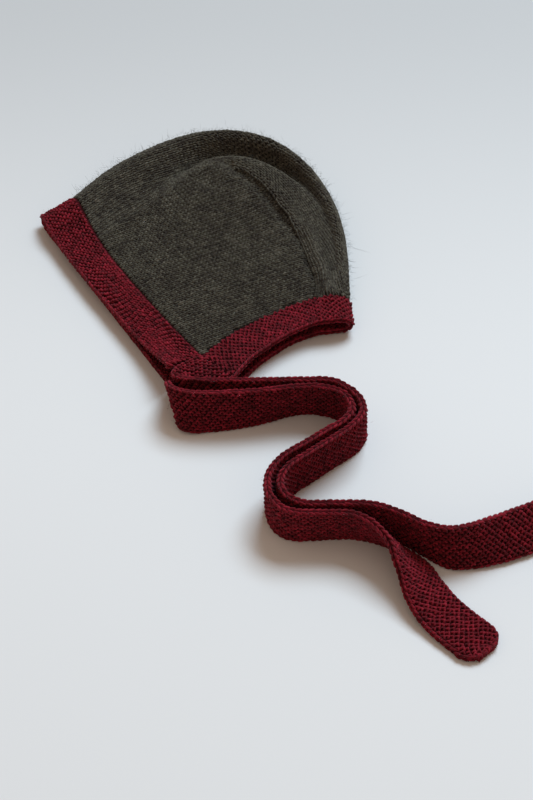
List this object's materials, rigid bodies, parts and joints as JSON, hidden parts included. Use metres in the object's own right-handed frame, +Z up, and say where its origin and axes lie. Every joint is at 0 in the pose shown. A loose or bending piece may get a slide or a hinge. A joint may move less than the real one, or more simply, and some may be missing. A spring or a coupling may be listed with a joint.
{
  "type": "baby bonnet",
  "caption": "Knitted baby bonnet lying folded flat on its side, with a stocking-stitch crown, contrasting face and neck bands and long flat knitted ties.",
  "frame": {"origin": "centre of the box round the whole bonnet and its ties, on the surface it lies on", "axes": "+Z up off the surface, +Y from the tie ends towards the crown, +X along the right-hand way out of the far tie"},
  "size_m": [0.2942, 0.3816, 0.0237],
  "materials": {
    "crown_yarn": "soft fuzzy olive grey-brown wool yarn in stocking stitch, matt",
    "band_yarn": "burgundy wool yarn in a dense garter-like stitch, matt with a faint sheen"
  },
  "bodies": {
    "root": {"crown": "crown_yarn", "face_band": "band_yarn", "neck_band": "band_yarn", "tie_left": "band_yarn", "tie_right": "band_yarn"}
  },
  "joints": []
}
